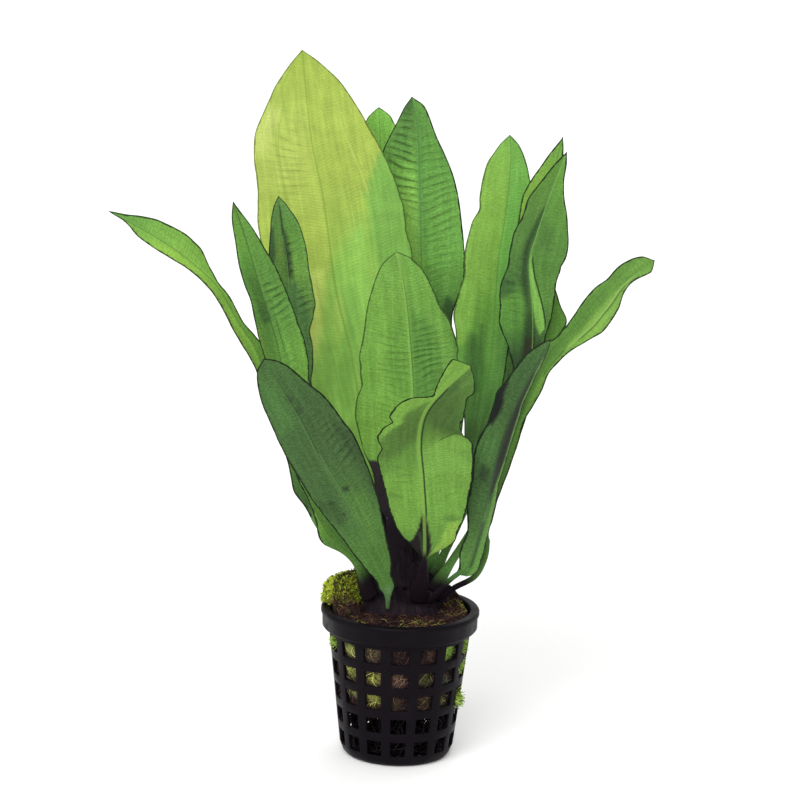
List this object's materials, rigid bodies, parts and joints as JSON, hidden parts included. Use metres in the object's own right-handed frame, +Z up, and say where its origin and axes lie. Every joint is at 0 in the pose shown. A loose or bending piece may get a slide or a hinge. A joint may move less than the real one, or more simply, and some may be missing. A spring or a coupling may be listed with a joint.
{
  "type": "potted echinodorus",
  "caption": "Bushy aquarium sword plant with broad green strap leaves rising from a dark crown, rooted in a mineral wool plug in a black slotted net pot.",
  "frame": {"origin": "middle of the pot's underside, on the surface it stands on", "axes": "+Z up through the pot, +Y away from the front the picture shows, +X to its right"},
  "size_m": [0.184, 0.113, 0.238],
  "materials": {
    "leaf_light": "satin",
    "leaf_mid": "satin",
    "leaf_dark": "satin",
    "crown": "matte",
    "wool": "matte",
    "pot": "satin"
  },
  "bodies": {
    "root": {"leaf_far_left": "leaf_mid", "leaf_left": "leaf_mid", "leaf_left_back": "leaf_dark", "leaf_back_tall": "leaf_light", "leaf_back": "leaf_mid", "leaf_back_right": "leaf_dark", "leaf_middle": "leaf_light", "leaf_front": "leaf_light", "leaf_right_light": "leaf_light", "leaf_right_back": "leaf_light", "leaf_right_dark": "leaf_dark", "leaf_front_right": "leaf_dark", "leaf_far_right": "leaf_mid", "leaf_front_left": "leaf_dark", "crown": "crown", "rockwool": "wool", "net_pot": "pot"}
  },
  "joints": []
}
